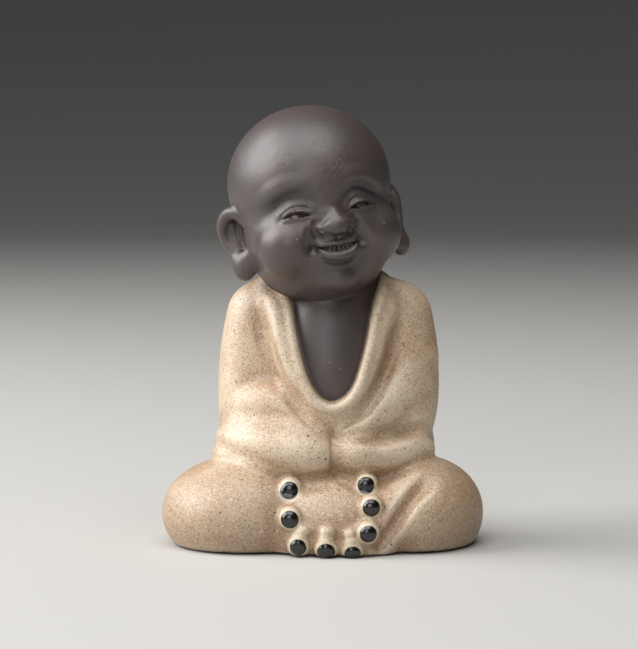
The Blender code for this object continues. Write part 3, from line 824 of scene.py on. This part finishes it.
# The foot of the nose, in the head's frame: where the modelling tool smoothed it, the nostrils and
# the line round it
NOSE_FOOT = (NOSE_MIDDLE, -17.6, -4.9)
NOSE_FOOT_REACH = (7.0, 5.0, 3.4)
NOSE_FOOT_SMOOTHING = 22
NOSTRIL = (2.5, -18.4, -6.3)
NOSTRIL_RADII = (1.3, 1.6, 1.1)
NOSTRIL_DEPTH = 1.3
NOSE_LINE = [(0, -6.9), (1.6, -7.1), (3.2, -7.0), (4.7, -6.0), (5.2, -4.4), (4.6, -3.0)]
NOSE_LINE_WIDTH = 1.1
NOSE_LINE_DEPTH = 0.55


def touch_up_face(mesh):
    """Smooths the foot of the nose, hollows the nostrils and draws the line round it."""
    points, _ = points_and_normals(mesh)
    to_world = np.array(head_matrix())
    local = (points - to_world[:3, 3]) @ to_world[:3, :3]
    away = np.linalg.norm((local - NOSE_FOOT) / NOSE_FOOT_REACH, axis=1)
    smooth = smoothed_points(mesh, NOSE_FOOT_SMOOTHING)
    points = points + (smooth - points) * ease(1.0, 0.7, away)[:, None]
    by_nose = np.stack([np.abs(local[:, 0] - NOSE_MIDDLE), local[:, 1], local[:, 2]], axis=1)
    away = np.linalg.norm((by_nose - NOSTRIL) / NOSTRIL_RADII, axis=1)
    points += np.outer(NOSTRIL_DEPTH * np.clip(1 - away**2, 0, 1) ** 2, to_world[:3, 2])
    move_points(mesh, points)
    points, normals = points_and_normals(mesh)
    _, weight = face_places(points, normals)
    line = stroke(by_nose[:, [0, 2]], NOSE_LINE, NOSE_LINE_WIDTH, NOSE_LINE_DEPTH, 0)
    move_points(mesh, points - normals * (line * weight)[:, None])


# What the finishes go by, kept as numbers on the points

HOLLOW_WIDTH = 0.9
FOLD_WIDTH = 2.6


def distances(tree, points):
    return np.array([tree.find_nearest(point)[3] for point in points])


def hollowness(mesh, width):
    """How deep each point lies below the surface smoothed over that width, below 0 on bumps."""
    points, normals = points_and_normals(mesh)
    around = smoothed_points(mesh, smoothing_steps(width, FINE_GRAIN))
    return np.einsum("ij,ij->i", around - points, normals)


def set_values(mesh, name, values):
    attribute = mesh.attributes.get(name) or mesh.attributes.new(name, "FLOAT", "POINT")
    attribute.data.foreach_set("value", np.asarray(values, np.float32))


def fine_monk():
    """The figure, carved and with its numbers for the finishes, in parts."""
    whole_robe = robe()
    front = front_finder(whole_robe)
    centres = drop_centres(front)
    opened = cut(whole_robe, opening_cutter())
    clothed = pressed([opened, collar_roll(front), *beads(front)], BEAD_FILL)
    skin = joined([head(), *neck_and_chest()])
    robe_tree = tree_of(clothed)
    skin_tree = tree_of(skin)
    figure = pressed([clothed, skin], FIGURE_FILL, FINE_GRAIN)
    carve_face(figure)
    touch_up_face(figure)
    round_foot(figure)
    touch_up_robe(figure)
    raise_drops(figure, centres)
    set_values(figure, "hollow", hollowness(figure, HOLLOW_WIDTH))
    set_values(figure, "fold", hollowness(figure, FOLD_WIDTH))
    figure = stood_flat(simplified(figure))
    points, _ = points_and_normals(figure)
    set_values(figure, "skin", distances(robe_tree, points) - distances(skin_tree, points))
    set_values(figure, "drop", from_drops(points, centres))
    return figure


# Shading


def srgb(red, green, blue):
    """A colour from its 0 to 255 values, as the linear colour that a shader takes."""
    linear = [((value / 255 + 0.055) / 1.055) ** 2.4 for value in (red, green, blue)]
    return (*linear, 1)


# The glazed robe
SAND = srgb(201, 180, 154)
DEEP_SAND = srgb(181, 154, 125)
TOASTED_SAND = srgb(178, 146, 116)
# darker sand towards the foot, partly painted shade
LOW_SAND_AND_SHADE = srgb(154, 123, 93)
THIN_GLAZE = srgb(214, 202, 180)
CREASE_TAN = srgb(164, 130, 96)
GRAIN_BROWN = srgb(140, 108, 80)
SPECK_BROWN = srgb(116, 84, 58)
IRON_BROWN = srgb(98, 68, 46)
PALE_GRAIN = srgb(236, 222, 194)
PINHOLE_BROWN = srgb(58, 40, 30)
GLAZE_RIM = srgb(150, 128, 92)

# The glaze drops and the pale ring round each
RING_CREAM = srgb(218, 206, 176)
DROP_BLACK = srgb(16, 13, 14)
DROP_ROUGHNESS = 0.23

# The bare clay
CLAY = srgb(73, 61, 59)
COOL_CLAY = srgb(62, 55, 54)
CLAY_GRAIN = srgb(90, 76, 73)
# painted shade for the clay's creases and hollows
PAINTED_CREASE_SHADE = srgb(44, 35, 36)
CLAY_FLECK = srgb(150, 132, 122)
CLAY_POLISH = srgb(104, 92, 89)

# How strongly both glaze and burnished clay reflect
GLOSS = 0.78

# Between these heights in mm the robe darkens towards the foot, part glaze tone, part painted
# shade
DARKER_BELOW = 20.0
DARKEST_FROM = 3.0

# The ripples on the forehead: their middle, how far from it they start to fade and how far they
# reach, all in mm, and the turn in radians and the stretch of the noise that they come from
RIPPLES_AT = (-3, -20, 87)
RIPPLES_FULL = 5.0
RIPPLES_END = 15.0
RIPPLE_TURN = 0.9
RIPPLE_STRETCH = (0.2, 1.4, 2.6)


class Nodes:
    """Adds nodes to a tree. An input given as a socket is linked, any other is set."""

    def __init__(self, tree):
        self.tree = tree

    def add(self, kind, inputs, **settings):
        node = self.tree.nodes.new(kind)
        for name, value in settings.items():
            setattr(node, name, value)
        for name, value in inputs.items():
            if isinstance(value, bpy.types.NodeSocket):
                self.tree.links.new(value, node.inputs[name])
            else:
                node.inputs[name].default_value = value
        return node

    def value(self, name):
        """The number of that name which each point carries."""
        return self.add("ShaderNodeAttribute", {}, attribute_name=name).outputs["Fac"]

    def place(self):
        """The place on the object, in metres."""
        return self.add("ShaderNodeTexCoord", {}).outputs["Object"]

    def up(self, place):
        return self.add("ShaderNodeSeparateXYZ", {0: place}).outputs["Z"]

    def vectors(self, operation, first, second=(0, 0, 0)):
        """The outputs of a vector node: Vector, and Value for a length or distance."""
        return self.add("ShaderNodeVectorMath", {0: first, 1: second}, operation=operation).outputs

    def noise(self, place, scale, detail=2.0, roughness=0.5):
        inputs = {"Vector": place, "Scale": scale, "Detail": detail, "Roughness": roughness}
        return self.add("ShaderNodeTexNoise", inputs).outputs["Fac"]

    def cells(self, place, scale):
        """Outputs for many scattered places: Distance to the nearest, and its random Color."""
        return self.add("ShaderNodeTexVoronoi", {"Vector": place, "Scale": scale}).outputs

    def dots(self, place, scale, edge, middle):
        """Small dots, 0 outside the distance edge and 1 inside the distance middle."""
        return self.ease(self.cells(place, scale)["Distance"], edge, middle)

    def specks(self, place, scale, size, amount):
        """Round specks of many sizes, in more of their scattered places where amount is higher."""
        cells = self.cells(place, scale)
        chance = self.add("ShaderNodeSeparateColor", {0: cells["Color"]}).outputs
        inside = self.minus(self.times(chance[0], size), cells["Distance"])
        there = self.minus(amount, chance[1])
        return self.times(self.ease(inside, -0.04, 0.08), self.ease(there, -0.05, 0.05))

    def maths(self, operation, first, second):
        return self.add("ShaderNodeMath", {0: first, 1: second}, operation=operation).outputs[0]

    def ease(self, value, start, end, low=0.0, high=1.0):
        """low where value is below start, high where it is above end. start may be above end."""
        if start > end:
            start, end, low, high = end, start, high, low
        inputs = {"Value": value, "From Min": start, "From Max": end}
        inputs |= {"To Min": low, "To Max": high}
        node = self.add("ShaderNodeMapRange", inputs, interpolation_type="SMOOTHSTEP")
        return node.outputs["Result"]

    def times(self, first, second):
        return self.maths("MULTIPLY", first, second)

    def plus(self, first, second):
        return self.maths("ADD", first, second)

    def minus(self, first, second):
        return self.maths("SUBTRACT", first, second)

    def blend(self, share, first, second):
        """A colour between two."""
        node = self.add("ShaderNodeMix", {0: share, 6: first, 7: second}, data_type="RGBA")
        return node.outputs[2]

    def between(self, share, first, second):
        """A number between two."""
        node = self.add("ShaderNodeMix", {0: share, 2: first, 3: second}, data_type="FLOAT")
        return node.outputs[0]


def robe_glaze(n, place, fold, hollow):
    """(colour, roughness, height in mm) of the sand-coloured glaze with iron speckle."""
    patches = n.noise(place, 0.055, 3.0)
    drift = n.noise(place, 0.16, 2.0)
    low = n.ease(n.up(place), DARKER_BELOW, DARKEST_FROM)
    colour = n.blend(n.ease(patches, 0.35, 0.65), SAND, DEEP_SAND)
    colour = n.blend(n.ease(drift, 0.45, 0.75, 0, 0.5), colour, TOASTED_SAND)
    # darker towards the foot: partly the glaze's tone, partly painted shade where less light falls
    colour = n.blend(n.times(low, 0.75), colour, LOW_SAND_AND_SHADE)
    # paler where the glaze runs thin over edges and bumps, darker in the creases
    thin = n.plus(n.ease(fold, -0.02, -0.30, 0, 0.5), n.ease(hollow, -0.02, -0.10, 0, 0.15))
    colour = n.blend(n.ease(thin, 0.0, 1.0, 0, 0.6), colour, THIN_GLAZE)
    colour = n.blend(n.ease(fold, 0.05, 0.6, 0, 0.35), colour, CREASE_TAN)
    # iron speckle, finer and coarser, denser in some places
    grain = n.noise(place, 2.6, 2.0, 0.6)
    crowding = n.plus(n.plus(patches, n.times(drift, 0.5)), n.times(low, 0.25))
    dense = n.times(n.ease(crowding, 0.5, 0.95, 0.3, 1.0), n.ease(fold, -0.35, 0.05, 0.45, 1.0))
    grainy = n.times(n.ease(grain, 0.45, 0.62), n.times(dense, 0.55))
    colour = n.blend(grainy, colour, GRAIN_BROWN)
    fine = n.specks(place, 3.3, 0.70, n.times(dense, 1.3))
    coarse = n.specks(place, 1.5, 0.42, n.times(dense, 0.32))
    colour = n.blend(n.times(fine, 0.62), colour, SPECK_BROWN)
    colour = n.blend(n.times(coarse, 0.7), colour, IRON_BROWN)
    pale = n.noise(n.vectors("ADD", place, (31, 17, 5))["Vector"], 2.2, 1.0)
    colour = n.blend(n.ease(pale, 0.60, 0.74, 0, 0.45), colour, PALE_GRAIN)
    pinholes = n.dots(place, 0.21, 0.075, 0.035)
    colour = n.blend(n.times(pinholes, 0.85), colour, PINHOLE_BROWN)
    roughness = n.plus(n.ease(grain, 0.35, 0.7, 0.42, 0.54), n.times(coarse, 0.06))
    height = n.plus(n.times(grain, 0.035), n.times(n.noise(place, 0.7, 1.0), 0.05))
    height = n.plus(height, n.times(pinholes, -0.08))
    return colour, roughness, height


def forehead_ripples(n, place):
    """Where the polishing left fine ripples."""
    around = {"Vector": place, "Angle": RIPPLE_TURN, "Axis": (0, 1, 0)}
    turned = n.add("ShaderNodeVectorRotate", around).outputs[0]
    stretched = n.vectors("MULTIPLY", turned, RIPPLE_STRETCH)["Vector"]
    ripples = n.ease(n.noise(stretched, 1.3, 2.0, 0.6), 0.48, 0.70)
    away = n.vectors("DISTANCE", place, RIPPLES_AT)["Value"]
    near = n.ease(away, RIPPLES_END, RIPPLES_FULL)
    return n.times(ripples, n.times(n.ease(n.noise(place, 0.16, 1.0), 0.38, 0.58), near))


def bare_clay(n, place, fold):
    """(colour, roughness, height in mm) of the dark burnished clay."""
    patches = n.noise(place, 0.07, 3.0)
    grain = n.noise(place, 3.2, 2.0, 0.6)
    colour = n.blend(n.ease(patches, 0.35, 0.65), CLAY, COOL_CLAY)
    colour = n.blend(n.ease(grain, 0.5, 0.7, 0, 0.35), colour, CLAY_GRAIN)
    # painted shade: the clay darker in the creases and hollows of the face
    colour = n.blend(n.ease(fold, 0.03, 0.5, 0, 0.7), colour, PAINTED_CREASE_SHADE)
    flecks = n.dots(place, 0.26, 0.06, 0.03)
    colour = n.blend(n.times(flecks, 0.7), colour, CLAY_FLECK)
    ripples = forehead_ripples(n, place)
    colour = n.blend(n.times(ripples, 0.12), colour, CLAY_POLISH)
    roughness = n.plus(n.ease(patches, 0.3, 0.7, 0.42, 0.48), n.times(ripples, 0.06))
    roughness = n.plus(roughness, n.ease(grain, 0.4, 0.7, -0.03, 0.06))
    height = n.plus(n.times(grain, 0.02), n.times(ripples, -0.03))
    height = n.plus(height, n.times(n.noise(place, 0.45, 2.0), 0.06))
    height = n.plus(height, n.times(flecks, -0.03))
    return colour, roughness, height


def stoneware():
    """The three finishes in one material, told apart by the numbers on the points."""
    material = bpy.data.materials.new("Glazed stoneware")
    material.use_nodes = True
    n = Nodes(material.node_tree)
    shader = material.node_tree.nodes["Principled BSDF"]
    millimetres = {0: n.place(), "Scale": 1000.0}
    place = n.add("ShaderNodeVectorMath", millimetres, operation="SCALE").outputs[0]
    fold = n.value("fold")
    colour, roughness, height = robe_glaze(n, place, fold, n.value("hollow"))
    # glaze thins to a pale ring round each drop
    drop = n.value("drop")
    wobble = n.times(n.plus(n.noise(place, 0.8, 1.0), -0.5), 0.5)
    ring = n.times(n.ease(n.plus(drop, wobble), 1.3, 0.2), 0.55)
    colour = n.blend(ring, colour, RING_CREAM)
    black = n.ease(n.plus(drop, n.times(wobble, 0.25)), 0.06, -0.06)
    colour = n.blend(black, colour, DROP_BLACK)
    roughness = n.between(black, roughness, DROP_ROUGHNESS)
    height = n.times(height, n.ease(black, 0, 1, 1, 0))
    # bare clay on the head, neck and chest, and on the wiped foot
    clay_colour, clay_roughness, clay_height = bare_clay(n, place, fold)
    foot = n.plus(n.up(place), n.times(n.noise(place, 0.5, 2.0), -0.9))
    edge = n.plus(n.value("skin"), n.times(n.plus(n.noise(place, 1.4, 2.0), -0.5), 0.22))
    bare = n.maths("MAXIMUM", n.ease(edge, -0.07, 0.07), n.ease(foot, 0.15, -0.1))
    rim = n.times(n.ease(edge, -0.75, -0.05), n.ease(bare, 0, 1, 1, 0))
    colour = n.blend(n.times(rim, 0.55), colour, GLAZE_RIM)
    colour = n.blend(bare, colour, clay_colour)
    roughness = n.between(bare, roughness, clay_roughness)
    height = n.between(bare, n.plus(height, 0.05), clay_height)
    bump = n.add("ShaderNodeBump", {"Height": height, "Distance": 0.001, "Strength": 1.0})
    n.tree.links.new(colour, shader.inputs["Base Color"])
    n.tree.links.new(roughness, shader.inputs["Roughness"])
    n.tree.links.new(bump.outputs["Normal"], shader.inputs["Normal"])
    shader.inputs["Specular IOR Level"].default_value = GLOSS
    return material


def add_statue():
    mesh = fine_monk()
    mesh.transform(Matrix.Scale(PART, 4))
    mesh.shade_smooth()
    mesh.set_sharp_from_angle(angle=math.radians(SHARP_ANGLE))
    mesh.materials.clear()
    mesh.materials.append(stoneware())
    statue = new_object("monk_figure", mesh)
    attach(statue, "root")
    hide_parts("monk_statue")


# The floor, in metres: a flat disc, a bend round it and the wall that the bend runs up into

FLOOR_REACH = 1.2
FLOOR_BEND = 0.8
WALL_HEIGHT = 1.6
FLOOR_STEPS = 96
FLOOR_WELD = 1e-5
FLOOR_ROUGHNESS = 0.7

# Its colours. It turns from pale to grey from this far out, in metres.
FLOOR_PALE = srgb(184, 182, 178)
FLOOR_GREY = srgb(88, 88, 90)
PALE_REACH = 0.25


def floor_material():
    """Pale round the figure, greyer towards the wall."""
    material = bpy.data.materials.new("Pale floor")
    material.use_nodes = True
    shader = material.node_tree.nodes["Principled BSDF"]
    n = Nodes(material.node_tree)
    away = n.vectors("LENGTH", n.place())["Value"]
    far = n.ease(away, PALE_REACH, FLOOR_REACH + FLOOR_BEND)
    n.tree.links.new(n.blend(far, FLOOR_PALE, FLOOR_GREY), shader.inputs["Base Color"])
    shader.inputs["Roughness"].default_value = FLOOR_ROUGHNESS
    return material


def add_floor():
    """A round floor that curves up into a wall all round, so that no edge shows."""
    profile = [(0, 0)]
    for angle in range(0, 91, 6):
        sin, cos = math.sin(math.radians(angle)), math.cos(math.radians(angle))
        profile.append((FLOOR_REACH + FLOOR_BEND * sin, FLOOR_BEND * (1 - cos)))
    profile.append((FLOOR_REACH + FLOOR_BEND, WALL_HEIGHT))
    bm = bmesh.new()
    points = [bm.verts.new((x, 0, z)) for x, z in profile]
    edges = [bm.edges.new(pair) for pair in zip(points[:-1], points[1:])]
    turn = {"axis": (0, 0, 1), "cent": (0, 0, 0), "angle": math.tau, "steps": FLOOR_STEPS}
    bmesh.ops.spin(bm, geom=[*points, *edges], use_merge=True, **turn)
    bmesh.ops.remove_doubles(bm, verts=bm.verts, dist=FLOOR_WELD)
    mesh = mesh_of(bm, "floor")
    mesh.shade_smooth()
    mesh.materials.append(floor_material())
    new_object("floor", mesh)


# What the lights and the camera look at, in metres
FIGURE_MIDDLE = (0, 0, 0.05)

# Each square light: its place and width in metres, and its power in watts
LIGHTS = {
    "key": ((-0.80, 0.02, 0.58), 0.85, 15.0),
    "top": ((-0.02, -0.30, 1.00), 0.90, 9.5),
    "front": ((-0.18, -0.95, 0.40), 0.46, 2.2),
}
WORLD_COLOUR = (0.8, 0.82, 0.85, 1)
WORLD_STRENGTH = 0.07


def add_light():
    for name, (place, width, power) in LIGHTS.items():
        light = bpy.data.lights.new(name, "AREA")
        light.size = width
        light.energy = power
        obj = new_object(name, light)
        obj.location = place
        towards = Vector(FIGURE_MIDDLE) - Vector(place)
        obj.rotation_euler = towards.to_track_quat("-Z", "Y").to_euler()
    world = bpy.data.worlds.new("Studio")
    world.use_nodes = True
    background = world.node_tree.nodes["Background"]
    background.inputs["Color"].default_value = WORLD_COLOUR
    background.inputs["Strength"].default_value = WORLD_STRENGTH
    bpy.context.scene.world = world
    bpy.context.scene.view_settings.view_transform = "Standard"


# The camera. Its picture is this many pixels high, and one pixel is this many metres where the
# figure stands. The shift is in pixels, the sensor in mm and the elevation in degrees.
PHOTO_HEIGHT = 649
PIXEL = 0.2305e-3
CAMERA_DISTANCE = 0.7
CAMERA_ELEVATION = 5.0
CAMERA_NEAR = 0.01
SENSOR = 24.0
SHIFT = (-3.0, -2.1)


def add_camera():
    camera = bpy.data.cameras.new("camera")
    camera.sensor_fit = "VERTICAL"
    camera.sensor_height = SENSOR
    camera.lens = SENSOR * CAMERA_DISTANCE / (PHOTO_HEIGHT * PIXEL)
    camera.shift_x, camera.shift_y = (pixels / PHOTO_HEIGHT for pixels in SHIFT)
    camera.clip_start = CAMERA_NEAR
    tilt = math.radians(CAMERA_ELEVATION)
    back = Vector((0, -math.cos(tilt), math.sin(tilt)))
    obj = new_object("camera", camera)
    obj.location = Vector(FIGURE_MIDDLE) + CAMERA_DISTANCE * back
    obj.rotation_euler = (math.radians(90 - CAMERA_ELEVATION), 0, 0)
    bpy.context.scene.camera = obj


add_statue()
add_floor()
add_light()
add_camera()

bpy.context.view_layer.update()
